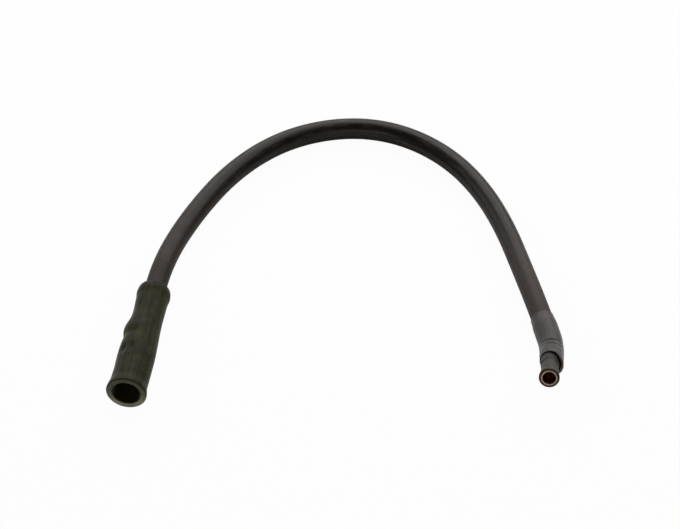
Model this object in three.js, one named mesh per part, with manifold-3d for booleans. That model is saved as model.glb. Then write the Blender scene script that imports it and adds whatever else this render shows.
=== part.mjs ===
// An engine's high-tension lead, about 300 mm long, lying on a flat surface.
// A straight moulded boot with a spring terminal is on one end, and a brass socket
// in a small nipple, under a thin sleeve, is on the other. Millimetres, +Z up.
// +Y runs along the straight boot, from its mouth towards the cable, and +X runs
// from the boot towards the socket.

import * as THREE from 'three';
import { mergeVertices } from 'three/addons/utils/BufferGeometryUtils.js';
import Module from 'manifold-3d';

const wasm = await Module();
wasm.setup();

// Cable
const cableDiameter = 7.0;
const insulationDiameter = 5.0;
const coreDiameter = 1.8;
const layerClearance = 0.2;      // between one layer of the cable and the next
const cableSides = 12;
const coreSides = 8;
const stationPitch = 2 * cableDiameter;

// Straight boot
const bootLength = 46.5;
const lipDiameter = 13.2;
const lipRound = 0.9;            // from the mouth face to the lip's widest place
const lipBlend = 3.2;            // from the mouth face to where the lip runs out
const bodyDiameter = 12.1;
const shankDiameter = 10.4;
const taperStart = 14;           // from the mouth face
const taperEnd = 34;
const shoulderDiameter = 11.0;
const shoulderAt = 2.9;          // from the cable end to the shoulder's crest
const shoulderRound = 1.6;
const bootBore = 9.0;
const bootBoreDepth = 20.5;
const edgeBreak = 0.4;           // small chamfer on moulded edges
const bootClearance = 0.2;       // between the boot and what is pushed into it

// Finger grip on one side of the boot, measured from the mouth face
const gripAngle = 35;            // degrees above the side that faces away from the arc
const gripCrest = { at: 26.2, reach: 3.4, height: 0.75 };
const gripHollows = [
  { at: 35.0, reach: 4.0, depth: 0.3 },
  { at: 22.9, reach: 1.7, depth: 0.35 },
  { at: 9.0, reach: 4.5, depth: 0.2 },
];

// Plug terminal, a slotted sheet-metal cup with a barrel round the insulation
const terminalBore = 6.5;
const terminalWall = 0.35;
const terminalCupLength = 9.5;
const terminalBarrelLength = 5.5;
const terminalSeat = 0.4;        // from the end of the mouth bore to the cup's rim
const slotCount = 4;
const slotWidth = 0.8;
const slotLength = 6.5;
const crimpClearance = 0.2;      // round the core and the insulation
const ringWire = 0.6;
const ringGap = 40;              // degrees left open in the spring ring
const ringAt = 2.6;              // from the cup's rim
const ringClearance = 0.1;       // inside and outside the spring ring

// Sleeve over the socket end
const sleeveLength = 22.6;
const sleeveWall = 0.4;
const sleeveClearance = 0.15;
const sleeveEdge = 0.12;         // wall at the very start
const sleeveFilm = 0.18;         // wall where the thin start ends
const sleeveFilmLength = 1.6;
const sleeveTaper = 3.6;         // from the start to the full wall
const mouthDraw = 0.1;           // radius lost towards the mouth
const mouthRound = 0.15;
const mouthSkew = 3.0;           // how far the mouth's outer side reaches past square
const mouthSkewAngle = -20;      // degrees above the side that faces away from the arc
const mouthSkewLength = 10;      // from the mouth to where the skew has died out
const wrinkleCount = 3;
const wrinklePitch = 2.8;
const wrinkleHeight = 0.34;
const wrinkleInset = 1.3;        // from the sleeve's mouth to the first wrinkle
const wrinkleAngle = 80;         // degrees above the side that faces away from the arc
const slackSide = 0.3;           // how far the mouth sits off the nipple's axis
const slackUp = 0.2;
const jacketInSleeve = 8;

// Nipple and brass socket
const nippleReach = 11.6;        // from the sleeve's mouth to the front face
const nippleLength = 15;
const nippleDiameter = 6.1;
const nippleWaist = 5.55;
const nippleWaistFrom = 5.5;     // from the front face
const nippleWaistTo = 8.2;
const nippleStep = 0.5;          // ramp from the waist up to the collar behind it
const nippleLip = 6.6;
const nippleLipWidth = 0.9;
const nippleRound = 0.2;
const nippleFillet = [0.15, 0.55, 1];   // rows, as shares of the way from lip to waist
const socketBore = 4.15;
const socketWall = 0.25;
const socketDepth = 9;
const socketLength = 14.2;
const flangeDiameter = 5.4;
const flangeWidth = 0.5;
const crimpDiameter = 3.2;
const coreClearance = 0.1;       // round the core in the brass crimp
const socketClearance = 0.1;     // between the nipple and the socket

// Faces round each revolved piece, and rows along a shaped side
const bootSides = 32;
const smallSides = 24;
const bootRows = 26;
const wrinkleRows = 6;
const ringSteps = 20;
const lipRows = 4;
const shoulderTurns = [30, 60, 90];  // degrees round the shoulder's rounded end
const bendSteps = 6;             // stations of the cable inside the sleeve
const sleeveBendRows = [5.5, 8.7];   // from the sleeve's start

const sideFalloff = 1.5;         // how quickly a one-sided shape fades round a piece
const cutPast = 1;               // how far a cutting shape runs past what it cuts
const mergeWithin = 1e-4;        // points closer than this become one

const up = new THREE.Vector3(0, 0, 1);
const cableRadius = cableDiameter / 2;
const lipRadius = lipDiameter / 2;
const sleeveInside = cableRadius + sleeveClearance;
const sleeveOutside = sleeveInside + sleeveWall;
const cupOutside = terminalBore / 2 + terminalWall;
const ringRadius = cupOutside + ringClearance + ringWire / 2;

// The lead's route. The first list leaves the boot: x, y and the share of the way up
// from lying on the surface to the boot's axis. The second lies on the surface. The
// third reaches the sleeve: x, y, the share of the way up to the sleeve's axis, and
// the rise above that axis as the end lifts.
const fromBoot = [
  [-63.9, 17.2, 1], [-63.9, 20.8, 1], [-63.7, 27.8, 0.84], [-62.9, 37.1, 0.5],
  [-61.4, 46.2, 0.19], [-59.1, 55.3, 0.04],
];
const arc = [
  [-56.1, 64.3], [-52.5, 73.0], [-48.0, 81.3], [-42.5, 89.0],
  [-35.9, 95.7], [-28.2, 101.0], [-19.6, 104.7], [-10.5, 106.5], [-1.3, 106.1],
  [7.6, 103.6], [16.0, 99.3], [23.6, 93.5], [30.2, 86.6], [35.9, 79.0],
  [40.8, 71.0], [45.2, 62.6], [49.1, 54.2],
];
const toSleeve = [
  [52.9, 45.7, 0.3, 0], [56.7, 37.0, 0.8, 0], [60.5, 28.1, 1, 0], [63.0, 22.1, 1, 0.02],
  [64.45, 18.3, 1, 0.03], [65.15, 15.5, 1, 0.15], [65.6, 12.6, 1, 0.65], [65.85, 9.7, 1, 1.7],
];

const share = (low, high, part) => low + (high - low) * part;
const routePoints = [
  ...fromBoot.map(([x, y, part]) => [x, y, share(cableRadius, lipRadius, part)]),
  ...arc.map(([x, y]) => [x, y, cableRadius]),
  ...toSleeve.map(([x, y, part, rise]) => [x, y, share(cableRadius, sleeveOutside, part) + rise]),
].map((point) => new THREE.Vector3(...point));
const route = new THREE.CatmullRomCurve3(routePoints, false, 'centripetal');
const routeLength = route.getLength();

// Point and heading at a distance from the boot's cable end. Past either end of the
// route the lead runs on in a straight line.
function alongRoute(distance) {
  const within = THREE.MathUtils.clamp(distance / routeLength, 0, 1);
  const ahead = route.getTangentAt(within);
  const past = distance - within * routeLength;
  return { point: route.getPointAt(within).addScaledVector(ahead, past), ahead };
}

// A path through chosen distances of the route, one for each step of an extrusion.
class Stations extends THREE.Curve {
  constructor(distances) {
    super();
    this.distances = distances;
  }
  distanceAt(u) {
    return this.distances[Math.round(u * (this.distances.length - 1))];
  }
  getPointAt(u) {
    return alongRoute(this.distanceAt(u)).point;
  }
  getTangentAt(u) {
    return alongRoute(this.distanceAt(u)).ahead;
  }
}

// Distances along the route at which pieces begin and end
const bootMouth = -bootLength;
const cupStart = bootMouth + bootBoreDepth + terminalSeat;
const cupEnd = cupStart + terminalCupLength;
const barrelEnd = cupEnd + terminalBarrelLength;
const insulationStart = cupEnd + terminalWall + crimpClearance;
const jacketStart = barrelEnd + layerClearance;
const nippleEnd = routeLength;
const socketFace = nippleEnd + nippleLength;
const sleeveMouth = socketFace - nippleReach;
const sleeveStart = sleeveMouth - sleeveLength;
const jacketEnd = sleeveStart + jacketInSleeve;
const insulationEnd = nippleEnd - layerClearance;
const coreEnd = socketFace - socketDepth - socketWall;

function closedPolygon(radius, sides) {
  const points = [];
  for (let i = 0; i < sides; i++) {
    const angle = (i / sides) * 2 * Math.PI;
    points.push(new THREE.Vector2(radius * Math.cos(angle), radius * Math.sin(angle)));
  }
  return points;
}

// One layer of the cable, a tube or a plain rod, from one distance to another. All
// layers share the stations between the straight ends, so they stay nested in bends.
function cableLayer(from, to, outside, inside, sides) {
  const section = new THREE.Shape(closedPolygon(outside, sides));
  if (inside > 0) section.holes.push(new THREE.Path(closedPolygon(inside, sides)));
  const distances = sharedStations.filter((distance) => distance > from && distance < to);
  distances.unshift(from);
  distances.push(to);
  return new THREE.ExtrudeGeometry(section, {
    steps: distances.length - 1,
    extrudePath: new Stations(distances),
  });
}

const freeSteps = Math.round(sleeveStart / stationPitch);
const sharedStations = [];
for (let i = 0; i < freeSteps; i++) sharedStations.push((sleeveStart * i) / freeSteps);
for (let i = 0; i <= bendSteps; i++) sharedStations.push(share(sleeveStart, nippleEnd, i / bendSteps));

// A solid turned about Y from an outline of radius and height pairs that closes on
// itself or on the axis.
function turned(outline, sides) {
  const points = outline.map(([radius, height]) => new THREE.Vector2(radius, height));
  return new THREE.LatheGeometry(points, sides);
}

function solidOf(geometry) {
  const bare = geometry.clone();
  bare.deleteAttribute('normal');
  bare.deleteAttribute('uv');
  const merged = mergeVertices(bare, mergeWithin);
  return new wasm.Manifold(new wasm.Mesh({
    numProp: 3,
    vertProperties: new Float32Array(merged.attributes.position.array),
    triVerts: new Uint32Array(merged.index.array),
  }));
}

function geometryOf(solid) {
  const mesh = solid.getMesh();
  const geometry = new THREE.BufferGeometry();
  geometry.setAttribute('position', new THREE.BufferAttribute(mesh.vertProperties, 3));
  geometry.setIndex(new THREE.BufferAttribute(mesh.triVerts, 1));
  geometry.computeVertexNormals();
  return geometry;
}

// Moves each point of a turned shape in or out by change(height, weight), where the
// weight is 1 on the side that faces the angle, above -X, and falls to 0 a quarter
// turn away.
function reshapeSide(geometry, angle, change) {
  const position = geometry.attributes.position;
  const facing = THREE.MathUtils.degToRad(angle);
  for (let i = 0; i < position.count; i++) {
    const x = position.getX(i);
    const z = position.getZ(i);
    const radius = Math.hypot(x, z);
    if (radius < 1e-6) continue;
    const turn = Math.atan2(z, -x) - facing;
    const weight = Math.max(0, Math.cos(turn)) ** sideFalloff;
    const scale = 1 + change(position.getY(i), weight) / radius;
    position.setX(i, x * scale);
    position.setZ(i, z * scale);
  }
  return geometry;
}

const ease = (from, to, value) => THREE.MathUtils.smoothstep(value, from, to);

const hump = (centre, reach, value) => Math.exp(-(((value - centre) / reach) ** 2));

// The boot's plain side tapers from the body to the shank, which ends in a rolled
// shoulder. Its grip side adds a long hollow for the finger, a crest and a short hollow.
function plainSide(fromMouth) {
  const taper = share(bodyDiameter, shankDiameter, ease(taperStart, taperEnd, fromMouth));
  const crest = bootLength - shoulderAt;
  const roll = (shoulderDiameter - shankDiameter) * hump(crest, shoulderRound, fromMouth);
  return (taper + roll) / 2;
}

function gripSide(fromMouth) {
  const crest = gripCrest.height * hump(gripCrest.at, gripCrest.reach, fromMouth);
  const hollows = gripHollows.map(({ at, reach, depth }) => depth * hump(at, reach, fromMouth));
  return crest - hollows.reduce((sum, depth) => sum + depth, 0);
}

// The lip is rounded over at the mouth face and runs out into the plain side.
function lipSide(fromMouth) {
  if (fromMouth < lipRound) {
    return lipRadius - lipRound + Math.sqrt(lipRound ** 2 - (lipRound - fromMouth) ** 2);
  }
  return share(lipRadius, plainSide(lipBlend), ease(lipRound, lipBlend, fromMouth));
}

function straightBoot() {
  const outline = [[0, -bootLength]];
  for (let i = 0; i <= lipRows; i++) {
    const fromMouth = lipRound * (1 - Math.cos((i / lipRows) * (Math.PI / 2)));
    outline.push([lipSide(fromMouth), fromMouth - bootLength]);
  }
  for (let i = 1; i < lipRows; i++) {
    const fromMouth = share(lipRound, lipBlend, i / lipRows);
    outline.push([lipSide(fromMouth), fromMouth - bootLength]);
  }
  const bodyStart = lipBlend;
  const bodyEnd = bootLength - shoulderRound;
  for (let i = 0; i <= bootRows; i++) {
    const fromMouth = share(bodyStart, bodyEnd, i / bootRows);
    outline.push([plainSide(fromMouth), fromMouth - bootLength]);
  }
  for (const angle of shoulderTurns) {
    const turn = THREE.MathUtils.degToRad(angle);
    const inset = shoulderRound * (1 - Math.cos(turn));
    outline.push([plainSide(bodyEnd) - inset, shoulderRound * (Math.sin(turn) - 1)]);
  }
  outline.push([0, 0]);
  const outside = reshapeSide(turned(outline, bootSides), gripAngle, (height, weight) => {
    const fromMouth = height + bootLength;
    const inBody = ease(lipRound, bodyStart, fromMouth) * (1 - ease(bodyEnd, bootLength, fromMouth));
    return inBody * weight * gripSide(fromMouth);
  });

  const entry = bootBore / 2;
  const pocket = ringRadius + ringWire / 2 + ringClearance;
  const cableHole = cableRadius + bootClearance;
  const pocketEnd = cupEnd + terminalWall + bootClearance;
  const bore = turned([
    [0, -bootLength - cutPast], [entry + edgeBreak, -bootLength - cutPast],
    [entry + edgeBreak, -bootLength], [entry, edgeBreak - bootLength],
    [entry, bootBoreDepth - bootLength], [pocket, bootBoreDepth - bootLength],
    [pocket, pocketEnd], [cableHole, pocketEnd], [cableHole, cutPast], [0, cutPast],
  ], bootSides);
  return geometryOf(solidOf(outside).subtract(solidOf(bore)));
}

// A sheet-metal cup with four slots from its rim, and a barrel behind it.
function plugTerminal() {
  const cupInside = terminalBore / 2;
  const barrelInside = insulationDiameter / 2 + crimpClearance;
  const barrelOutside = barrelInside + terminalWall;
  const coreHole = coreDiameter / 2 + crimpClearance;
  const shell = turned([
    [cupInside + terminalWall / 2, cupStart], [cupOutside, cupStart + terminalWall],
    [cupOutside, cupEnd], [barrelOutside, cupEnd + terminalWall],
    [barrelOutside, barrelEnd], [barrelInside, barrelEnd],
    [barrelInside, cupEnd + terminalWall], [coreHole, cupEnd + terminalWall],
    [coreHole, cupEnd], [cupInside, cupEnd], [cupInside, cupStart + terminalWall],
    [cupInside + terminalWall / 2, cupStart],
  ], smallSides);
  let solid = solidOf(shell);
  const slotReach = cupOutside + cutPast;
  for (let i = 0; i < slotCount; i++) {
    const slot = new THREE.BoxGeometry(slotWidth, 2 * slotLength, slotReach);
    slot.translate(0, cupStart, slotReach / 2);
    slot.rotateY(((i + 0.5) / slotCount) * 2 * Math.PI);
    solid = solid.subtract(solidOf(slot));
  }
  return geometryOf(solid);
}

// An open ring of spring wire that holds the cup's fingers together.
function springRing() {
  const sweep = THREE.MathUtils.degToRad(360 - ringGap);
  const points = [];
  for (let i = 0; i <= ringSteps; i++) {
    points.push(new THREE.Vector3().setFromSphericalCoords(
      ringRadius, Math.PI / 2, (sweep * i) / ringSteps,
    ));
  }
  const wire = new THREE.ExtrudeGeometry(new THREE.Shape(closedPolygon(ringWire / 2, coreSides)), {
    steps: ringSteps,
    extrudePath: new THREE.CatmullRomCurve3(points),
  });
  wire.translate(0, cupStart + ringAt, 0);
  return wire;
}

// The sleeve is turned straight and then laid along the route. Its wrinkles stand on
// top, where the end bends up, and its mouth sits a little off the axis and askew.
function endSleeve() {
  const inner = sleeveInside - mouthDraw;
  const outer = sleeveOutside - mouthDraw;
  const wrinklesFrom = sleeveLength - wrinkleInset - wrinkleCount * wrinklePitch;
  const wrinklesTo = sleeveLength - wrinkleInset;
  const outline = [
    [sleeveInside, 0], [sleeveInside + sleeveEdge, 0],
    [sleeveInside + sleeveFilm, sleeveFilmLength], [sleeveOutside, sleeveTaper],
    ...sleeveBendRows.map((row) => [sleeveOutside, row]),
  ];
  const stepCount = wrinkleRows * wrinkleCount;
  for (let i = 0; i <= stepCount; i++) {
    outline.push([outer, share(wrinklesFrom, wrinklesTo, i / stepCount)]);
  }
  outline.push([outer, sleeveLength - mouthRound], [outer - mouthRound, sleeveLength]);
  outline.push([inner, sleeveLength]);
  for (let i = stepCount; i >= 0; i -= 2) {
    outline.push([inner, share(wrinklesFrom, wrinklesTo, i / stepCount)]);
  }
  outline.push(...sleeveBendRows.toReversed().map((row) => [sleeveInside, row]));
  outline.push([sleeveInside, 0]);
  const straight = turned(outline, smallSides);
  const geometry = reshapeSide(straight, wrinkleAngle, (height, weight) => {
    if (height <= wrinklesFrom || height >= wrinklesTo) return 0;
    const phase = ((height - wrinklesFrom) / wrinklePitch) * 2 * Math.PI;
    return (wrinkleHeight / 2) * weight * (Math.cos(phase) - 1);
  });
  const position = geometry.attributes.position;
  const skewTurn = THREE.MathUtils.degToRad(mouthSkewAngle);
  for (let i = 0; i < position.count; i++) {
    const height = position.getY(i);
    const turn = Math.atan2(position.getZ(i), -position.getX(i)) - skewTurn;
    const skew = mouthSkew * Math.cos(turn) * ease(sleeveLength - mouthSkewLength, sleeveLength, height);
    const { point, ahead } = alongRoute(sleeveStart + height + skew);
    const side = new THREE.Vector3().crossVectors(up, ahead).normalize();
    const over = new THREE.Vector3().crossVectors(ahead, side);
    const slack = ease(jacketInSleeve, sleeveLength, height);
    point.addScaledVector(side, slackSide * slack - position.getX(i));
    point.addScaledVector(over, slackUp * slack + position.getZ(i));
    position.setXYZ(i, point.x, point.y, point.z);
  }
  return geometry;
}

// The nipple and the socket stand in a group of their own, whose +Y runs back into
// the sleeve from the front face.
function nipple() {
  const inside = socketBore / 2 + socketWall + socketClearance;
  const crimpHole = crimpDiameter / 2 + socketClearance;
  const shoulder = socketDepth + socketWall + socketClearance;
  const recess = flangeDiameter / 2 + socketClearance;
  const lip = nippleLip / 2;
  const waist = nippleWaist / 2;
  const body = nippleDiameter / 2;
  const fillet = nippleFillet.map((part) => [
    share(lip, waist, Math.sin((part * Math.PI) / 2)),
    share(nippleLipWidth, nippleWaistFrom, part),
  ]);
  return turned([
    [recess, 0], [lip - nippleRound, 0], [lip, nippleRound], [lip, nippleLipWidth],
    ...fillet, [waist, nippleWaistTo], [body, nippleWaistTo + nippleStep],
    [body, nippleLength - edgeBreak], [body - edgeBreak, nippleLength],
    [crimpHole, nippleLength], [crimpHole, shoulder], [inside, shoulder],
    [inside, flangeWidth + socketClearance], [recess, flangeWidth + socketClearance],
    [recess, 0],
  ], smallSides);
}

function socket() {
  const bore = socketBore / 2;
  const tube = bore + socketWall;
  const flange = flangeDiameter / 2;
  const crimp = crimpDiameter / 2;
  const coreHole = coreDiameter / 2 + coreClearance;
  return turned([
    [bore, 0], [flange, 0], [flange, flangeWidth], [tube, flangeWidth],
    [tube, socketDepth + socketWall], [crimp, socketDepth + socketWall],
    [crimp, socketLength], [coreHole, socketLength], [coreHole, socketDepth],
    [bore, socketDepth], [bore, 0],
  ], smallSides);
}

const black = new THREE.MeshStandardMaterial({ color: '#3a3830', roughness: 0.6, metalness: 0 });
const jacketBlack = new THREE.MeshStandardMaterial({ color: '#2e2c2a', roughness: 0.45, metalness: 0 });
const cream = new THREE.MeshStandardMaterial({ color: '#cfc8b8', roughness: 0.7, metalness: 0 });
const copper = new THREE.MeshStandardMaterial({ color: '#b8714a', roughness: 0.35, metalness: 1 });
const steel = new THREE.MeshStandardMaterial({ color: '#b4b2ac', roughness: 0.35, metalness: 1 });
const sleeveGrey = new THREE.MeshStandardMaterial({ color: '#4a4646', roughness: 0.6, metalness: 0 });
const nippleGrey = new THREE.MeshStandardMaterial({ color: '#55564c', roughness: 0.6, metalness: 0 });
const brass = new THREE.MeshStandardMaterial({ color: '#b08a52', roughness: 0.3, metalness: 1 });

function named(name, geometry, material) {
  const mesh = new THREE.Mesh(geometry, material);
  mesh.name = name;
  return mesh;
}

const plugEnd = new THREE.Group();
plugEnd.position.copy(routePoints[0]);
plugEnd.add(
  named('straight_boot', straightBoot(), black),
  named('plug_terminal', plugTerminal(), steel),
  named('terminal_spring_ring', springRing(), steel),
);

const socketFront = alongRoute(socketFace);
const socketGroup = new THREE.Group();
socketGroup.position.copy(socketFront.point);
socketGroup.quaternion.setFromUnitVectors(
  new THREE.Vector3(0, 1, 0),
  socketFront.ahead.clone().negate(),
);
socketGroup.add(
  named('socket_insulator', nipple(), nippleGrey),
  named('socket_terminal', socket(), brass),
);

const coreRadius = coreDiameter / 2;
const insulationRadius = insulationDiameter / 2;
const lead = new THREE.Group();
lead.add(
  named('cable_jacket', cableLayer(
    jacketStart, jacketEnd, cableRadius, insulationRadius + layerClearance, cableSides,
  ), jacketBlack),
  named('cable_insulation', cableLayer(
    insulationStart, insulationEnd, insulationRadius, coreRadius + layerClearance, cableSides,
  ), cream),
  named('cable_core', cableLayer(cupEnd - terminalWall, coreEnd, coreRadius, 0, coreSides), copper),
  named('end_sleeve', endSleeve(), sleeveGrey),
  plugEnd,
  socketGroup,
);

export default lead;
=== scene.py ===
"""A short ignition lead on a white table: a straight boot, 7 mm cable, and a brass
socket in a nipple under a thin sleeve. Lengths in the text are millimetres."""

import math

import bpy
import numpy as np
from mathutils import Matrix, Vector


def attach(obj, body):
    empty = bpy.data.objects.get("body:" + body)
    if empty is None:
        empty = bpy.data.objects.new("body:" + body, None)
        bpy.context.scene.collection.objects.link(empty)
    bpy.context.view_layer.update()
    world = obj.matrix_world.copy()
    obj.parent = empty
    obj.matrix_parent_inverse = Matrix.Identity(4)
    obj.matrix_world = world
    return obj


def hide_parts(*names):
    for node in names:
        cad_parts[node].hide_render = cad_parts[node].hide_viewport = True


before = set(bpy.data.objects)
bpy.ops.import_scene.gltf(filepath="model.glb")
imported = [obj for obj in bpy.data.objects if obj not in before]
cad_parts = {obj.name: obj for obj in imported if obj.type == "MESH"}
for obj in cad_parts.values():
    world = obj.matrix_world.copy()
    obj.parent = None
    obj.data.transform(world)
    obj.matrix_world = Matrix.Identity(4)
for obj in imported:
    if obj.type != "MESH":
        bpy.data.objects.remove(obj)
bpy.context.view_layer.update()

# Camera
# A long lens 1.4 m away looks down at 45 degrees, a little from the right of the boot.
camera_at = Vector((0.16065, -0.94538, 1.00482))
looks_at = Vector((-0.0076, 0.0417, 0.0035))
camera = bpy.data.objects.new("camera", bpy.data.cameras.new("camera"))
camera.location = camera_at
camera.rotation_euler = (looks_at - camera_at).to_track_quat("-Z", "Y").to_euler()
camera.data.lens = 230.4
camera.data.sensor_width = 36
camera.data.sensor_fit = "HORIZONTAL"
camera.data.clip_start = 0.1
camera.data.clip_end = 20
bpy.context.collection.objects.link(camera)
bpy.context.scene.camera = camera
bpy.context.scene.view_settings.view_transform = "Standard"


# Table and lamps
# A white table under a large soft box behind and above, with a smaller one on the left
# and a low one in front. The room is dim, which leaves the dark band along the cable.
def linear(colour):
    """The linear RGBA value of a colour written as # and six hex digits."""
    part = np.array([int(colour[i:i + 2], 16) for i in (1, 3, 5)]) / 255
    value = np.where(part <= 0.04045, part / 12.92, ((part + 0.055) / 1.055) ** 2.4)
    return (*map(float, value), 1.0)


def add(tree, kind, sockets=None, **settings):
    """Adds a node. sockets gives inputs, by name or number, a value or an output."""
    made = tree.nodes.new(kind)
    for name, value in settings.items():
        setattr(made, name, value)
    for name, value in (sockets or {}).items():
        if isinstance(value, bpy.types.NodeSocket):
            tree.links.new(value, made.inputs[name])
        else:
            made.inputs[name].default_value = value
    return made


def new_material(name):
    """An empty node material and its tree."""
    material = bpy.data.materials.new(name)
    material.use_nodes = True
    material.node_tree.nodes.clear()
    return material, material.node_tree


table_paint, tree = new_material("white table")
matt = add(tree, "ShaderNodeBsdfDiffuse", {"Color": linear("#f4f4f4")})
glow = add(tree, "ShaderNodeEmission", {"Color": (1, 1, 1, 1), "Strength": 1.0})
seen = add(tree, "ShaderNodeLightPath")
# The camera sees this share of the table as plain white. The rest takes the shadow.
own_white = 0.96
share = add(
    tree, "ShaderNodeMath", {0: seen.outputs["Is Camera Ray"], 1: own_white},
    operation="MULTIPLY",
)
mix = add(
    tree, "ShaderNodeMixShader",
    {0: share.outputs[0], 1: matt.outputs[0], 2: glow.outputs[0]},
)
add(tree, "ShaderNodeOutputMaterial", {"Surface": mix.outputs[0]})

bpy.ops.mesh.primitive_plane_add(size=6, location=(0, 0, 0))
table = bpy.context.object
table.name = "white_table"
table.data.materials.append(table_paint)

world = bpy.data.worlds.new("room")
bpy.context.scene.world = world
world.use_nodes = True
world.node_tree.nodes.clear()
tree = world.node_tree
room = add(tree, "ShaderNodeBackground", {"Color": linear("#d8dade"), "Strength": 0.18})
white = add(tree, "ShaderNodeBackground", {"Color": (1, 1, 1, 1), "Strength": 1.0})
seen = add(tree, "ShaderNodeLightPath")
mix = add(
    tree, "ShaderNodeMixShader",
    {0: seen.outputs["Is Camera Ray"], 1: room.outputs[0], 2: white.outputs[0]},
)
add(tree, "ShaderNodeOutputWorld", {"Surface": mix.outputs[0]})

for name, place, wide, tall, power in (
    ("back box", (0.15, 0.95, 0.85), 1.9, 1.35, 19.2),
    ("left box", (-0.95, 0.6, 0.45), 1.3, 0.75, 3.8),
    ("front box", (0.1, -1.4, 0.6), 2.2, 0.5, 5.4),
):
    lamp = bpy.data.lights.new(name, "AREA")
    lamp.shape = "RECTANGLE"
    lamp.size = wide
    lamp.size_y = tall
    lamp.energy = power
    lamp.color = (1.0, 0.965, 0.93)
    lamp_object = bpy.data.objects.new(name, lamp)
    lamp_object.location = place
    lamp_object.rotation_euler = (-Vector(place)).to_track_quat("-Z", "Y").to_euler()
    bpy.context.collection.objects.link(lamp_object)

# Cable jacket
# A 7 mm sleeve of black extruded rubber over the insulation. It runs from inside the
# boot to inside the end sleeve, and its die leaves faint lines along it.
mm = 0.001
lead_points = np.array([
    (-63.9, 17.2, 6.6), (-63.9, 20.8, 6.6), (-63.7, 27.8, 6.1), (-62.9, 37.1, 5.05),
    (-61.4, 46.2, 4.09), (-59.1, 55.3, 3.62), (-56.1, 64.3, 3.5), (-52.5, 73.0, 3.5),
    (-48.0, 81.3, 3.5), (-42.5, 89.0, 3.5), (-35.9, 95.7, 3.5), (-28.2, 101.0, 3.5),
    (-19.6, 104.7, 3.5), (-10.5, 106.5, 3.5), (-1.3, 106.1, 3.5), (7.6, 103.6, 3.5),
    (16.0, 99.3, 3.5), (23.6, 93.5, 3.5), (30.2, 86.6, 3.5), (35.9, 79.0, 3.5),
    (40.8, 71.0, 3.5), (45.2, 62.6, 3.5), (49.1, 54.2, 3.5), (52.9, 45.7, 3.665),
    (56.7, 37.0, 3.94), (60.5, 28.1, 4.05), (63.0, 22.1, 4.07), (64.45, 18.3, 4.08),
    (65.15, 15.5, 4.2), (65.6, 12.6, 4.7), (65.85, 9.7, 5.75),
])


def through(points, steps):
    """A smooth line through the points. The heading at each is that of the parabola
    through it and its neighbours, spaced by the root of their distance."""
    ends = (2 * points[:1] - points[1:2], points, 2 * points[-1:] - points[-2:-1])
    knots = np.concatenate(ends)
    gap = np.linalg.norm(np.diff(knots, axis=0), axis=1, keepdims=True) ** 0.5
    rise = np.diff(knots, axis=0) / gap
    heading = rise[:-1] + rise[1:] - (knots[2:] - knots[:-2]) / (gap[:-1] + gap[1:])
    t = np.linspace(0, 1, steps, endpoint=False)[None, :, None]
    start, end = points[:-1, None], points[1:, None]
    leave, arrive = (heading[:-1] * gap[1:-1])[:, None], (heading[1:] * gap[1:-1])[:, None]
    line = (
        start * (2 * t ** 3 - 3 * t ** 2 + 1) + end * (3 * t ** 2 - 2 * t ** 3)
        + leave * (t ** 3 - 2 * t ** 2 + t) + arrive * (t ** 3 - t ** 2)
    ).reshape(-1, 3)
    return np.concatenate([line, points[-1:]])


drawn = through(lead_points, steps=60)
drawn_at = np.concatenate([[0], np.cumsum(np.linalg.norm(np.diff(drawn, axis=0), axis=1))])
route_length = drawn_at[-1]
run_before, run_after, spacing = 60, 30, 0.25
line_at = np.arange(-run_before, route_length + run_after, spacing)
line = np.stack([np.interp(line_at, drawn_at, drawn[:, k]) for k in range(3)], axis=1)
first_heading = (drawn[1] - drawn[0]) / np.linalg.norm(drawn[1] - drawn[0])
last_heading = (drawn[-1] - drawn[-2]) / np.linalg.norm(drawn[-1] - drawn[-2])
line += np.minimum(line_at, 0)[:, None] * first_heading
line += np.maximum(line_at - route_length, 0)[:, None] * last_heading
headings = np.gradient(line, line_at, axis=0)


def lay(local):
    """Takes points from the straight lead to the bent one. On the straight lead +Y is
    the distance from the boot's cable end, and the heading there turns X and Z."""
    at = local[..., 1]
    spot = np.stack([np.interp(at, line_at, line[:, k]) for k in range(3)], axis=-1)
    ahead = np.stack([np.interp(at, line_at, headings[:, k]) for k in range(3)], axis=-1)
    ahead /= np.linalg.norm(ahead, axis=-1, keepdims=True)
    side = np.cross((0.0, 0.0, 1.0), ahead)
    side /= np.linalg.norm(side, axis=-1, keepdims=True)
    over = np.cross(ahead, side)
    return spot - side * local[..., :1] + over * local[..., 2:]


def closed_mesh(name, local):
    """A closed solid from rows of points round the straight lead, the last row joined
    to the first. The straight places are kept for the materials, in metres."""
    rows, columns = local.shape[:2]
    number = np.arange(rows * columns).reshape(rows, columns)
    above, beside = np.roll(number, -1, 0), np.roll(number, -1, 1)
    faces = np.stack([number, above, np.roll(above, -1, 1), beside], axis=-1).reshape(-1, 4)
    points = lay(local).reshape(-1, 3) * mm
    a, b, c, d = (points[faces[:, k]] for k in range(4))
    volume = np.einsum("ij,ij->", a, np.cross(b, c) + np.cross(c, d))
    if volume < 0:
        faces = faces[:, ::-1]
    mesh = bpy.data.meshes.new(name)
    mesh.from_pydata(points.tolist(), [], faces.tolist())
    mesh.shade_smooth()
    straight = mesh.attributes.new("straight", "FLOAT_VECTOR", "POINT")
    straight.data.foreach_set("vector", (local.reshape(-1, 3) * mm).ravel())
    made = bpy.data.objects.new(name, mesh)
    bpy.context.collection.objects.link(made)
    return made


def ease(low, high, value):
    """Goes from 0 to 1 between low and high, level at both ends."""
    t = np.clip((value - low) / (high - low), 0, 1)
    return t * t * (3 - 2 * t)


def angles(sides):
    """Evenly spaced angles round the lead, as one row."""
    return np.linspace(0, 2 * math.pi, sides, endpoint=False)[None]


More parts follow.
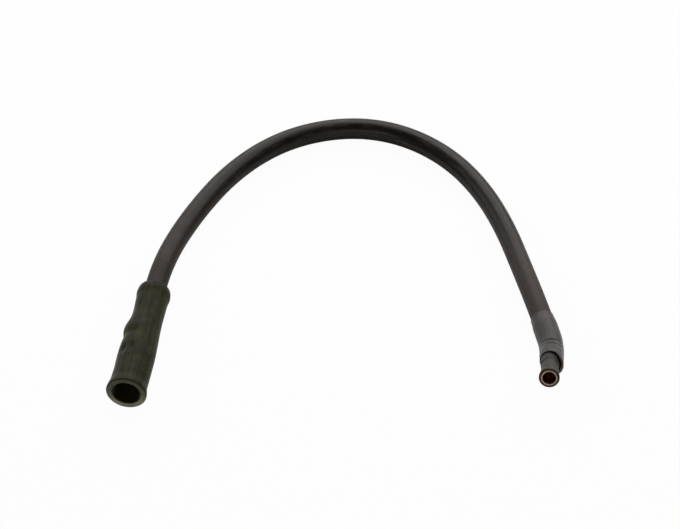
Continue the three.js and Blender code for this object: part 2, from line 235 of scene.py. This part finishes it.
def turned(name, outline, sides, reshape=None, slack=(0, 0)):
    """A closed outline of radius and distance turned round the lead. Angles are
    measured up from the side that faces away from the arc. slack is how far the far
    end stands off the lead's line, sideways and up. The first 8 stay on the line."""
    angle = angles(sides)
    radius = np.repeat(outline[:, :1], sides, axis=1)
    distance = np.repeat(outline[:, 1:], sides, axis=1)
    if reshape:
        radius, distance = reshape(radius, distance, angle)
    off = ease(8, np.ptp(outline[:, 1]), outline[:, 1:] - outline[:, 1].min())
    across = -np.cos(angle) * radius - slack[0] * off
    over = np.sin(angle) * radius + slack[1] * off
    return closed_mesh(name, np.stack([across, distance, over], axis=-1))


def rounded(corners, step):
    """A closed outline of corners given as radius, distance and fillet. Each fillet is
    a parabola between the two runs, and runs are cut at every step of length."""
    places = np.array(corners, float)[:, :2]
    fillet_points = 7
    drawn_corners = []
    for before, here, after, (_, _, fillet) in zip(
        np.roll(places, 1, 0), places, np.roll(places, -1, 0), corners,
    ):
        back = (before - here) / np.linalg.norm(before - here) * fillet
        on = (after - here) / np.linalg.norm(after - here) * fillet
        t = np.linspace(0, 1, fillet_points if fillet else 1)[:, None]
        drawn_corners.append(here + back * (1 - t) ** 2 + on * t ** 2)
    points = np.concatenate(drawn_corners + drawn_corners[:1])
    at = np.concatenate([[0], np.cumsum(np.linalg.norm(np.diff(points, axis=0), axis=1))])
    around = at[len(points) - len(drawn_corners[0])]
    cuts = np.concatenate([at[at < around], np.arange(0, around, step)])
    stops = np.unique(np.round(cuts, 4))
    return np.stack([np.interp(stops, at, points[:, k]) for k in range(2)], axis=1)


jacket_radius, jacket_bore = 3.5, 2.7
jacket_start, jacket_end = -10.4, route_length - 11.2
jacket = turned("jacket_tube", rounded([
    (jacket_bore, jacket_start, 0.1), (jacket_radius, jacket_start, 0.2),
    (jacket_radius, jacket_end, 0.2), (jacket_bore, jacket_end, 0.1),
], step=0.6), sides=72)
# A Mix node has several inputs called A and B, so its colours go by their numbers.
colour_a, colour_b, mixed = 6, 7, 2
jacket_rubber, tree = new_material("extruded black rubber")
# Near black and satin, duller and paler towards both ends. Die
# lines 0.9 apart, scuffs 6 long and specks 2.4 apart break up the long highlight. The
# grain is drawn at 0.4, coarser than the real one, so that it shows.
place = add(tree, "ShaderNodeAttribute", attribute_name="straight")
along = add(tree, "ShaderNodeMapping", {0: place.outputs["Vector"], "Scale": (1150, 9, 1150)})
die_lines = add(
    tree, "ShaderNodeTexNoise",
    {"Vector": along.outputs[0], "Scale": 1.0, "Detail": 3.0},
)
patches = add(
    tree, "ShaderNodeTexNoise",
    {"Vector": place.outputs["Vector"], "Scale": 170.0, "Detail": 5.0, "Roughness": 0.6},
)
grain = add(
    tree, "ShaderNodeTexNoise",
    {"Vector": place.outputs["Vector"], "Scale": 2600.0, "Detail": 2.0},
)
specks = add(
    tree, "ShaderNodeTexVoronoi",
    {"Vector": place.outputs["Vector"], "Scale": 420.0, "Randomness": 1.0},
)
dust = add(
    tree, "ShaderNodeMapRange",
    {
        "Value": specks.outputs["Distance"], "From Min": 0.05, "From Max": 0.09,
        "To Min": 1.0, "To Max": 0.0,
    },
)
worn = add(
    tree, "ShaderNodeMapRange",
    {"Value": patches.outputs[0], "From Min": 0.42, "From Max": 0.68},
)
colour = add(
    tree, "ShaderNodeMix",
    {"Factor": worn.outputs[0], colour_a: linear("#100c08"), colour_b: linear("#1a150f")},
    data_type="RGBA",
)
dashes = add(
    tree, "ShaderNodeMapping",
    {0: place.outputs["Vector"], "Scale": (1100, 170, 1100)},
)
scuffs = add(
    tree, "ShaderNodeTexNoise",
    {"Vector": dashes.outputs[0], "Scale": 1.0, "Detail": 3.0},
)
scuff_share = add(
    tree, "ShaderNodeMapRange",
    {
        "Value": scuffs.outputs[0], "From Min": 0.54, "From Max": 0.72,
        "To Min": 0.0, "To Max": 0.5,
    },
)
scuffed = add(
    tree, "ShaderNodeMix",
    {
        "Factor": scuff_share.outputs[0], colour_a: colour.outputs[mixed],
        colour_b: linear("#453b34"),
    },
    data_type="RGBA",
)
part = add(tree, "ShaderNodeSeparateXYZ", {0: place.outputs["Vector"]})
near_boot = add(
    tree, "ShaderNodeMapRange",
    {
        "Value": part.outputs["Y"], "From Min": 10 * mm, "From Max": 75 * mm,
        "To Min": 1.0, "To Max": 0.0,
    },
)
near_sleeve = add(
    tree, "ShaderNodeMapRange",
    {
        "Value": part.outputs["Y"], "From Min": (route_length - 65) * mm,
        "From Max": (route_length - 26) * mm,
    },
)
dull = add(
    tree, "ShaderNodeMath", {0: near_boot.outputs[0], 1: near_sleeve.outputs[0]},
    operation="ADD",
)
# Both ends mix towards paler colours.
paler_ends = scuffed
for end, film in ((near_boot, "#211a11"), (near_sleeve, "#38302d")):
    paler_ends = add(
        tree, "ShaderNodeMix",
        {"Factor": end.outputs[0], colour_a: paler_ends.outputs[mixed], colour_b: linear(film)},
        data_type="RGBA",
    )
dust_share = add(tree, "ShaderNodeMath", {0: dust.outputs[0], 1: 0.12}, operation="MULTIPLY")
dusty = add(
    tree, "ShaderNodeMix",
    {
        "Factor": dust_share.outputs[0], colour_a: paler_ends.outputs[mixed],
        colour_b: linear("#585651"),
    },
    data_type="RGBA",
)
sheen = add(
    tree, "ShaderNodeMapRange",
    {
        "Value": patches.outputs[0], "From Min": 0.3, "From Max": 0.7,
        "To Min": 0.26, "To Max": 0.38,
    },
)
duller = add(
    tree, "ShaderNodeMath", {0: dull.outputs[0], 1: 0.22, 2: sheen.outputs[0]},
    operation="MULTIPLY_ADD",
)
lines = add(
    tree, "ShaderNodeBump",
    {"Height": die_lines.outputs[0], "Strength": 0.7, "Distance": 0.08 * mm},
)
rough = add(
    tree, "ShaderNodeBump",
    {
        "Height": grain.outputs[0], "Strength": 0.3, "Distance": 0.01 * mm,
        "Normal": lines.outputs[0],
    },
)
rubber = add(
    tree, "ShaderNodeBsdfPrincipled",
    {
        "Base Color": dusty.outputs[mixed], "Roughness": duller.outputs[0], "IOR": 1.5,
        "Specular IOR Level": 0.26, "Sheen Weight": 0.07, "Sheen Roughness": 0.3,
        "Normal": rough.outputs[0],
    },
)
add(tree, "ShaderNodeOutputMaterial", {"Surface": rubber.outputs[0]})
jacket.data.materials.append(jacket_rubber)
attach(jacket, "root")
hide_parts("cable_jacket")
jacket_at = np.arange(jacket_start, jacket_end, 0.5)
jacket_path = lay(np.stack([0 * jacket_at, jacket_at, 0 * jacket_at], axis=1)) * mm

# Cable insulation
# A layer of off-white rubber extruded round the core. The jacket covers it, so the CAD
# solid stays as it is and only takes its finish here.
def dress(node, material):
    """Gives a CAD node's object a material in place of its plain one."""
    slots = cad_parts[node].data.materials
    slots.clear()
    slots.append(material)


insulation_rubber, tree = new_material("extruded off white rubber")
# Dull and even, clouded by the talc that keeps the jacket from sticking to it. The
# clouds are about 2.5 wide.
place = add(tree, "ShaderNodeTexCoord")
talc = add(
    tree, "ShaderNodeTexNoise",
    {"Vector": place.outputs["Object"], "Scale": 400.0, "Detail": 4.0, "Roughness": 0.6},
)
colour = add(
    tree, "ShaderNodeMix",
    {"Factor": talc.outputs[0], colour_a: linear("#c2b8a2"), colour_b: linear("#d9d3c6")},
    data_type="RGBA",
)
bumps = add(
    tree, "ShaderNodeBump",
    {"Height": talc.outputs[0], "Strength": 0.3, "Distance": 0.02 * mm},
)
rubber = add(
    tree, "ShaderNodeBsdfPrincipled",
    {
        "Base Color": colour.outputs[mixed], "Roughness": 0.7, "IOR": 1.5,
        "Normal": bumps.outputs[0],
    },
)
add(tree, "ShaderNodeOutputMaterial", {"Surface": rubber.outputs[0]})
dress("cable_insulation", insulation_rubber)

# Copper core
# A bundle of fine copper strands twisted together, held at the boot's end in the cup's
# barrel and at the other end in the brass socket's.
strand_copper, tree = new_material("stranded copper")
# Warm and half bright, browned in patches 1.4 wide where air has reached it. Strands
# 0.4 apart run across it at a slant.
place = add(tree, "ShaderNodeTexCoord")
browned = add(
    tree, "ShaderNodeTexNoise",
    {"Vector": place.outputs["Object"], "Scale": 700.0, "Detail": 4.0},
)
colour = add(
    tree, "ShaderNodeMix",
    {"Factor": browned.outputs[0], colour_a: linear("#d9946c"), colour_b: linear("#9c5a3c")},
    data_type="RGBA",
)
strands = add(
    tree, "ShaderNodeTexWave",
    {"Vector": place.outputs["Object"], "Scale": 900.0, "Distortion": 1.0},
    bands_direction="DIAGONAL",
)
twist = add(
    tree, "ShaderNodeBump",
    {"Height": strands.outputs["Fac"], "Strength": 0.5, "Distance": 0.08 * mm},
)
copper = add(
    tree, "ShaderNodeBsdfPrincipled",
    {
        "Base Color": colour.outputs[mixed], "Metallic": 1.0, "Roughness": 0.35,
        "Normal": twist.outputs[0],
    },
)
add(tree, "ShaderNodeOutputMaterial", {"Surface": copper.outputs[0]})
dress("cable_core", strand_copper)

# Plug terminal
# A slotted cup of plated sheet steel, rolled round and pressed into the boot's pocket,
# with a barrel behind it that holds the cable.
plated_sheet, tree = new_material("plated sheet steel")
# Bright, with the fine lines that rolling leaves along the strip and duller patches.
# The lines are 0.4 apart, coarser than the real ones, and the patches 3 wide.
place = add(tree, "ShaderNodeTexCoord")
along = add(tree, "ShaderNodeMapping", {0: place.outputs["Object"], "Scale": (2400, 60, 2400)})
rolled = add(
    tree, "ShaderNodeTexNoise",
    {"Vector": along.outputs[0], "Scale": 1.0, "Detail": 3.0},
)
dulled = add(
    tree, "ShaderNodeTexNoise",
    {"Vector": place.outputs["Object"], "Scale": 350.0, "Detail": 4.0},
)
colour = add(
    tree, "ShaderNodeMix",
    {"Factor": dulled.outputs[0], colour_a: linear("#cdcbc6"), colour_b: linear("#a8a6a1")},
    data_type="RGBA",
)
sheen = add(
    tree, "ShaderNodeMapRange",
    {
        "Value": dulled.outputs[0], "From Min": 0.3, "From Max": 0.7,
        "To Min": 0.2, "To Max": 0.38,
    },
)
lines = add(
    tree, "ShaderNodeBump",
    {"Height": rolled.outputs[0], "Strength": 0.3, "Distance": 0.01 * mm},
)
steel = add(
    tree, "ShaderNodeBsdfPrincipled",
    {
        "Base Color": colour.outputs[mixed], "Metallic": 1.0, "Roughness": sheen.outputs[0],
        "Normal": lines.outputs[0],
    },
)
add(tree, "ShaderNodeOutputMaterial", {"Surface": steel.outputs[0]})
dress("plug_terminal", plated_sheet)

# Spring ring
# An open ring of drawn steel wire in a groove round the cup's fingers. It presses them
# on the plug's nut.
spring_wire, tree = new_material("drawn spring steel wire")
# Greyer than the cup, with the dull film that is left from drawing and hardening, in
# spots 1.1 wide.
place = add(tree, "ShaderNodeTexCoord")
film = add(
    tree, "ShaderNodeTexNoise",
    {"Vector": place.outputs["Object"], "Scale": 900.0, "Detail": 4.0},
)
colour = add(
    tree, "ShaderNodeMix",
    {"Factor": film.outputs[0], colour_a: linear("#8f8e8a"), colour_b: linear("#b2b0ab")},
    data_type="RGBA",
)
bumps = add(
    tree, "ShaderNodeBump",
    {"Height": film.outputs[0], "Strength": 0.2, "Distance": 0.01 * mm},
)
steel = add(
    tree, "ShaderNodeBsdfPrincipled",
    {
        "Base Color": colour.outputs[mixed], "Metallic": 1.0, "Roughness": 0.32,
        "Normal": bumps.outputs[0],
    },
)
add(tree, "ShaderNodeOutputMaterial", {"Surface": steel.outputs[0]})
dress("terminal_spring_ring", spring_wire)

# Straight boot
# One hollow moulding of soft black rubber with an olive cast. It has a rolled rim at
# the mouth, a finger grip on one side and a rounded shoulder where the cable enters.
boot_length, boot_sides = 46.5, 200
boot_body, boot_shank = 6.05, 5.2
lip_radius, lip_round, lip_blend = 6.55, 0.5, 4.2
shoulder_round = 1.6
shoulder_from = boot_length - shoulder_round
mouth_bore, pocket_bore, cable_hole = 4.5, 4.4, 3.7
pocket_front, pocket_back = -26.0, -15.55


def hump(centre, reach, value):
    """A bell that is 1 at the centre and fades over the reach."""
    return np.exp(-((value - centre) / reach) ** 2)


def plain_side(from_mouth):
    """The boot's radius: the body narrows to the shank between 14 and 34 from the
    mouth, and the shoulder adds a roll of 0.3."""
    narrowing = (boot_body - boot_shank) * ease(14, 34, from_mouth)
    return boot_body - narrowing + 0.3 * hump(43.6, 1.6, from_mouth)


def facing(angle, degrees, power):
    """How far a direction round the lead faces an angle, from 1 down to 0."""
    return np.maximum(np.cos(angle - math.radians(degrees)), 0) ** power


def lip_side(from_mouth):
    """The radius near the mouth: a quarter round out to the lip's radius, which then
    runs out into the plain side where the lip's blend ends."""
    inset = np.maximum(lip_round - from_mouth, 0)
    run_out = (plain_side(lip_blend) - lip_radius) * ease(0.3, lip_blend, from_mouth)
    return lip_radius + run_out - lip_round + np.sqrt(lip_round ** 2 - inset ** 2)


def spots(from_mouth, angle, places):
    """The sum of soft round spots on the boot. Each gives its strength, its distance
    from the mouth and reach, and the angle it faces and its power in facing."""
    return sum(
        strength * hump(centre, reach, from_mouth) * facing(angle, degrees, power)
        for strength, centre, reach, degrees, power in places
    )


def boot_shape(radius, distance, angle):
    """Adds the finger grip to the outside: a crest 26 from the mouth between hollows,
    and two short dents nearer the mouth. Inner points keep their radius."""
    from_mouth = distance + boot_length
    outside = ease(4.75, 5.05, radius) * ease(lip_round, lip_blend, from_mouth)
    outside = outside * (1 - ease(shoulder_from, boot_length, from_mouth))
    grip = 0.75 * hump(26.2, 3.4, from_mouth) - 0.3 * hump(35, 4, from_mouth)
    grip -= 0.35 * hump(22.9, 1.7, from_mouth) + 0.2 * hump(9, 4.5, from_mouth)
    dents = spots(from_mouth, angle, ((0.6, 15.4, 1.9, 50, 40), (0.45, 15.9, 1.9, 79, 110)))
    return radius + outside * (facing(angle, 35, 1.5) * grip - dents), distance


side_at = np.linspace(shoulder_from, lip_blend, 120)
side = [(plain_side(v), v - boot_length, 0) for v in side_at]
lip_turn = np.radians(np.arange(0, 91, 10))
lip_at = np.concatenate([np.linspace(4.0, 0.6, 18), lip_round * (1 - np.sin(lip_turn))])
lip = [(lip_side(v), v - boot_length, 0) for v in lip_at]
back_face = plain_side(shoulder_from) - shoulder_round
shoulder = [
    (back_face + shoulder_round * math.cos(t), shoulder_round * (math.sin(t) - 1), 0)
    for t in np.radians([78, 65, 52, 39, 26, 13])
]
boot_outline = rounded([
    (cable_hole, 0, 0.2), (back_face, 0, 0.3), *shoulder, *side, *lip,
    (mouth_bore, -boot_length, 0.45), (mouth_bore, pocket_front, 0.08),
    (pocket_bore, pocket_front, 0.04), (pocket_bore, pocket_back, 0.2),
    (cable_hole, pocket_back, 0.2),
], step=0.4)
boot = turned("boot_moulding", boot_outline, boot_sides, boot_shape)


def write_field(piece, name, values):
    """Keeps one number for each point of a piece, for its material to read."""
    field = piece.data.attributes.new(name, "FLOAT", "POINT")
    field.data.foreach_set("value", values.ravel())


# How light the rubber is, 1 where it is plain. It holds painted light and shade: painted
# shade in both dents and on the slope behind the crest, and a darker spot nearer the
# shoulder. A painted highlight lies in the hollow before the crest, painted light on the
# lower half of the mouth's face and painted shade on its upper half.
boot_angle = angles(boot_sides)
boot_at = boot_outline[:, 1:] + boot_length
mouth_face = 1 - ease(0.1, lip_round, boot_at)
shade = 1 + spots(boot_at, boot_angle, (
    (-0.9, 15.4, 1.7, 50, 40), (-0.75, 15.9, 1.7, 79, 130), (-0.7, 29.0, 1.6, 54, 8),
    (-0.6, 36.8, 1.2, 57, 90), (0.9, 22.8, 2.4, 48, 8),
))
shade += mouth_face * (1.7 * facing(boot_angle, -90, 1) - 0.35 * facing(boot_angle, 90, 1))
write_field(boot, "shade", shade)
boot_rubber, tree = new_material("moulded olive black rubber")
# Matt and slightly grainy, with faint streaks 1.1 apart along it and paler scuffs 4 wide
# where it is gripped. Its thin edges take a grey shine from the table. The grain is
# drawn at 0.3, coarser than the real one, so that it shows.
place = add(tree, "ShaderNodeAttribute", attribute_name="straight")
along = add(tree, "ShaderNodeMapping", {0: place.outputs["Vector"], "Scale": (900, 30, 900)})
streaks = add(
    tree, "ShaderNodeTexNoise",
    {"Vector": along.outputs[0], "Scale": 1.0, "Detail": 4.0},
)
patches = add(
    tree, "ShaderNodeTexNoise",
    {"Vector": place.outputs["Vector"], "Scale": 260.0, "Detail": 6.0, "Roughness": 0.65},
)
grain = add(
    tree, "ShaderNodeTexNoise",
    {"Vector": place.outputs["Vector"], "Scale": 3800.0, "Detail": 3.0, "Roughness": 0.6},
)
both = add(
    tree, "ShaderNodeMath", {0: streaks.outputs[0], 1: patches.outputs[0]},
    operation="ADD",
)
worn = add(
    tree, "ShaderNodeMapRange",
    {"Value": both.outputs[0], "From Min": 0.85, "From Max": 1.2},
)
colour = add(
    tree, "ShaderNodeMix",
    {"Factor": worn.outputs[0], colour_a: linear("#1d1c0b"), colour_b: linear("#37361f")},
    data_type="RGBA",
)
part = add(tree, "ShaderNodeSeparateXYZ", {0: place.outputs["Vector"]})
# The mouth's front face is painted much paler, as painted light on it.
at_mouth = add(
    tree, "ShaderNodeMapRange",
    {
        "Value": part.outputs["Y"],
        "From Min": (0.08 - boot_length) * mm, "From Max": (0.01 - boot_length) * mm,
    },
)
painted_lit_face = add(
    tree, "ShaderNodeMix",
    {"Factor": patches.outputs[0], colour_a: linear("#3b3a2f"), colour_b: linear("#706f5d")},
    data_type="RGBA",
)
with_painted_lit_face = add(
    tree, "ShaderNodeMix",
    {
        "Factor": at_mouth.outputs[0], colour_a: colour.outputs[mixed],
        colour_b: painted_lit_face.outputs[mixed],
    },
    data_type="RGBA",
)
# The shade field's painted light and shade scale the colour here.
lightness = add(tree, "ShaderNodeAttribute", attribute_name="shade")
painted_light_and_shade = add(
    tree, "ShaderNodeVectorMath",
    {0: with_painted_lit_face.outputs[mixed], "Scale": lightness.outputs["Fac"]}, operation="SCALE",
)
sheen = add(
    tree, "ShaderNodeMapRange",
    {
        "Value": patches.outputs[0], "From Min": 0.3, "From Max": 0.7,
        "To Min": 0.46, "To Max": 0.6,
    },
)
bumps = add(
    tree, "ShaderNodeBump",
    {"Height": grain.outputs[0], "Strength": 0.5, "Distance": 0.03 * mm},
)
waves = add(
    tree, "ShaderNodeBump",
    {
        "Height": streaks.outputs[0], "Strength": 0.3, "Distance": 0.04 * mm,
        "Normal": bumps.outputs[0],
    },
)
rubber = add(
    tree, "ShaderNodeBsdfPrincipled",
    {
        "Base Color": painted_light_and_shade.outputs[0], "Roughness": sheen.outputs[0], "IOR": 1.5,
        "Specular IOR Level": 0.1, "Sheen Weight": 0.24, "Sheen Roughness": 0.3,
        "Normal": waves.outputs[0],
    },
)
add(tree, "ShaderNodeOutputMaterial", {"Surface": rubber.outputs[0]})
boot.data.materials.append(boot_rubber)
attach(boot, "root")
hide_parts("straight_boot")

# End sleeve
# A thin grey plastic sleeve shrunk over the end of the cable and the nipple's rear.
# It thins out towards the cable and is pushed up into wrinkles where the end bends.
nipple_length, nipple_reach, sleeve_length, sleeve_sides = 15, 11.6, 22.6, 160
socket_face = route_length + nipple_length
sleeve_mouth = socket_face - nipple_reach
sleeve_start = sleeve_mouth - sleeve_length
wrinkles_from, wrinkle_pitch, wrinkles_to, wrinkles_fade = 12.9, 2.8, 21.3, 0.7
outer_skew, inner_skew = 3.0, 1.3


def sleeve_shape(radius, distance, angle):
    """Three wrinkles before the mouth, on the upper side: each is a round valley
    between sharper ridges. The mouth's outer side reaches 3 past square and its inner
    side stops 1.3 short. Its upper inner side lies down on the nipple, and its lower
    outer rim is rolled in."""
    height = distance - sleeve_start
    inside = ease(wrinkles_from, wrinkles_from + wrinkles_fade, height)
    inside = inside * (1 - ease(wrinkles_to - wrinkles_fade, wrinkles_to, height))
    swing = 2 * math.pi * (height - wrinkles_from) / wrinkle_pitch
    fold = inside * facing(angle, 88, 4) * 0.19 * (np.cos(swing) - 1)
    lean = np.cos(angle + math.radians(20))
    skew = np.where(lean > 0, outer_skew, inner_skew) * lean
    skew = skew * ease(sleeve_length - 10, sleeve_length, height)
    droop = 0.43 * facing(angle, 115, 1) * ease(19.5, sleeve_length, height)
    rolled = 0.4 * ease(3.75, 3.6, radius) * facing(angle, -25, 1) * ease(20.5, 22.3, height)
    return radius + fold - droop - rolled, distance + skew


on_cable, on_nipple = sleeve_start + 8.7, sleeve_mouth - 9.7
cable_inside, cable_outside, nipple_inside, nipple_outside = 3.65, 4.05, 3.55, 3.95
sleeve_outline = rounded([
    (cable_inside, sleeve_start, 0.03), (3.77, sleeve_start, 0.05),
    (3.83, sleeve_start + 1.6, 0.3), (cable_outside, sleeve_start + 3.6, 0.7),
    (cable_outside, on_cable, 1.0), (nipple_outside, on_nipple, 1.0),
    (nipple_outside, sleeve_mouth, 0.15), (nipple_inside, sleeve_mouth, 0.15),
    (nipple_inside, on_nipple, 1.0), (cable_inside, on_cable, 1.0),
], step=0.15)
sleeve = turned("shrunk_sleeve", sleeve_outline, sleeve_sides, sleeve_shape, slack=(0.3, 0.2))
# The outer side of the mouth's cut edge is marked for a painted light colour.
cut_edge = ease(sleeve_mouth - 0.5, sleeve_mouth - 0.1, sleeve_outline[:, 1:])
write_field(sleeve, "painted_lit_edge", cut_edge * facing(angles(sleeve_sides), -10, 0.7))
sleeve_plastic, tree = new_material("grey shrunk plastic sleeve")
# Dark grey with a soft shine, a little warm. Its skin has a fine stipple, drawn at 0.3,
# and pale rubbed streaks 1.4 apart along it. On its outer side the cut edge is painted a
# warm grey, as painted light on the rim.
place = add(tree, "ShaderNodeAttribute", attribute_name="straight")
along = add(tree, "ShaderNodeMapping", {0: place.outputs["Vector"], "Scale": (700, 60, 700)})
streaks = add(
    tree, "ShaderNodeTexNoise",
    {"Vector": along.outputs[0], "Scale": 1.0, "Detail": 4.0},
)
grain = add(
    tree, "ShaderNodeTexNoise",
    {"Vector": place.outputs["Vector"], "Scale": 3200.0, "Detail": 2.0},
)
worn = add(
    tree, "ShaderNodeMapRange",
    {"Value": streaks.outputs[0], "From Min": 0.35, "From Max": 0.7},
)
colour = add(
    tree, "ShaderNodeMix",
    {"Factor": worn.outputs[0], colour_a: linear("#373434"), colour_b: linear("#433f3e")},
    data_type="RGBA",
)
bumps = add(
    tree, "ShaderNodeBump",
    {"Height": grain.outputs[0], "Strength": 0.4, "Distance": 0.02 * mm},
)
painted_lit_edge = add(tree, "ShaderNodeAttribute", attribute_name="painted_lit_edge")
edge_painted_light = add(
    tree, "ShaderNodeMix",
    {
        "Factor": painted_lit_edge.outputs["Fac"], colour_a: colour.outputs[mixed],
        colour_b: linear("#725c52"),
    },
    data_type="RGBA",
)
plastic = add(
    tree, "ShaderNodeBsdfPrincipled",
    {
        "Base Color": edge_painted_light.outputs[mixed], "Roughness": 0.45, "IOR": 1.5,
        "Specular IOR Level": 0.33, "Sheen Weight": 0.32, "Sheen Roughness": 0.35,
        "Normal": bumps.outputs[0],
    },
)
add(tree, "ShaderNodeOutputMaterial", {"Surface": plastic.outputs[0]})
sleeve.data.materials.append(sleeve_plastic)
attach(sleeve, "root")
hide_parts("end_sleeve")

# Nipple
# A short moulded rubber plug with a waist and a thicker lip at its front. The sleeve
# holds its rear, and it holds the brass socket.
nipple_lip, nipple_waist, nipple_collar = 3.3, 2.775, 3.05
flange_hole, body_hole, crimp_hole = 2.8, 2.425, 1.7
flange_seat, body_seat = socket_face - 0.6, socket_face - 9.35
nipple_back = socket_face - nipple_length
nipple_outline = rounded([
    (flange_hole, socket_face, 0.1), (nipple_lip, socket_face, 0.2),
    (nipple_lip, socket_face - 0.9, 0.3), (3.18, socket_face - 1.6, 0.4),
    (2.9, socket_face - 3.4, 1.0), (nipple_waist, socket_face - 5.5, 1.0),
    (2.8, socket_face - 8.2, 0.1), (nipple_collar, socket_face - 8.6, 0.15),
    (nipple_collar, nipple_back, 0.4), (crimp_hole, nipple_back, 0.2),
    (crimp_hole, body_seat, 0.1), (body_hole, body_seat, 0.1),
    (body_hole, flange_seat, 0.05), (flange_hole, flange_seat, 0.05),
], step=0.2)
nipple = turned("nipple_moulding", nipple_outline, sides=144)
nipple_rubber, tree = new_material("grey green moulded rubber")
# Softer and paler than the jacket, clouded in patches 2.5 wide. It is darker on the
# collar that the sleeve covers, and its lip round the brass is painted dark brown as shade.
place = add(tree, "ShaderNodeAttribute", attribute_name="straight")
patches = add(
    tree, "ShaderNodeTexNoise",
    {"Vector": place.outputs["Vector"], "Scale": 400.0, "Detail": 5.0, "Roughness": 0.6},
)
colour = add(
    tree, "ShaderNodeMix",
    {"Factor": patches.outputs[0], colour_a: linear("#303029"), colour_b: linear("#3e3d36")},
    data_type="RGBA",
)
part = add(tree, "ShaderNodeSeparateXYZ", {0: place.outputs["Vector"]})
collar = add(
    tree, "ShaderNodeMapRange",
    {
        "Value": part.outputs["Y"], "From Min": (socket_face - 8.1) * mm,
        "From Max": (socket_face - 8.5) * mm,
    },
)
front = add(
    tree, "ShaderNodeMapRange",
    {
        "Value": part.outputs["Y"], "From Min": (socket_face - 0.9) * mm,
        "From Max": (socket_face - 0.4) * mm,
    },
)
darker = add(
    tree, "ShaderNodeMix",
    {"Factor": collar.outputs[0], colour_a: colour.outputs[mixed], colour_b: linear("#262522")},
    data_type="RGBA",
)
# The lip round the brass is painted dark brown, as painted shade between it and the socket.
painted_lip_shade = add(
    tree, "ShaderNodeMix",
    {"Factor": front.outputs[0], colour_a: darker.outputs[mixed], colour_b: linear("#23140b")},
    data_type="RGBA",
)
bumps = add(
    tree, "ShaderNodeBump",
    {"Height": patches.outputs[0], "Strength": 0.3, "Distance": 0.05 * mm},
)
rubber = add(
    tree, "ShaderNodeBsdfPrincipled",
    {
        "Base Color": painted_lip_shade.outputs[mixed], "Roughness": 0.5, "IOR": 1.5,
        "Specular IOR Level": 0.33, "Normal": bumps.outputs[0],
    },
)
add(tree, "ShaderNodeOutputMaterial", {"Surface": rubber.outputs[0]})
nipple.data.materials.append(nipple_rubber)
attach(nipple, "root")
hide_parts("socket_insulator")

# Brass socket
# Turned from rod, bored for a 4 mm pin, with a flange that seats in the nipple's
# front and a barrel behind that is crimped on the core.
pin_bore, flange_radius, body_radius, crimp_radius, core_hole = 2.1, 2.68, 2.325, 1.6, 1.0
flange_back, bore_end = socket_face - 0.5, socket_face - 9.0
body_back, crimp_back = socket_face - 9.25, socket_face - 14.2
socket_outline = rounded([
    (pin_bore, socket_face, 0.2), (flange_radius, socket_face, 0.12),
    (flange_radius, flange_back, 0.05), (body_radius, flange_back, 0.05),
    (body_radius, body_back, 0.15), (crimp_radius, body_back, 0.1),
    (crimp_radius, crimp_back, 0.1), (core_hole, crimp_back, 0.05),
    (core_hole, bore_end, 0.05), (pin_bore, bore_end, 0.1),
], step=0.15)
socket = turned("brass_socket", socket_outline, sides=120)
socket_brass, tree = new_material("turned brass")
# Bright at the rim, spotted with tarnish 1.1 wide, and darker and redder down the bore, partly
# tarnish and partly painted shade.
place = add(tree, "ShaderNodeAttribute", attribute_name="straight")
tarnish = add(
    tree, "ShaderNodeTexNoise",
    {"Vector": place.outputs["Vector"], "Scale": 900.0, "Detail": 5.0},
)
colour = add(
    tree, "ShaderNodeMix",
    {"Factor": tarnish.outputs[0], colour_a: linear("#bba38a"), colour_b: linear("#927a65")},
    data_type="RGBA",
)
part = add(tree, "ShaderNodeSeparateXYZ", {0: place.outputs["Vector"]})
# Down the bore the colour darkens: partly tarnish, partly painted shade.
deep = add(
    tree, "ShaderNodeMapRange",
    {
        "Value": part.outputs["Y"], "From Min": (socket_face - 0.3) * mm,
        "From Max": (socket_face - 3.0) * mm,
    },
)
tarnish_and_bore_shade = add(
    tree, "ShaderNodeMix",
    {"Factor": deep.outputs[0], colour_a: colour.outputs[mixed], colour_b: linear("#724526")},
    data_type="RGBA",
)
brass = add(
    tree, "ShaderNodeBsdfPrincipled",
    {"Base Color": tarnish_and_bore_shade.outputs[mixed], "Metallic": 1.0, "Roughness": 0.3},
)
add(tree, "ShaderNodeOutputMaterial", {"Surface": brass.outputs[0]})
socket.data.materials.append(socket_brass)
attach(socket, "root")
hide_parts("socket_terminal")
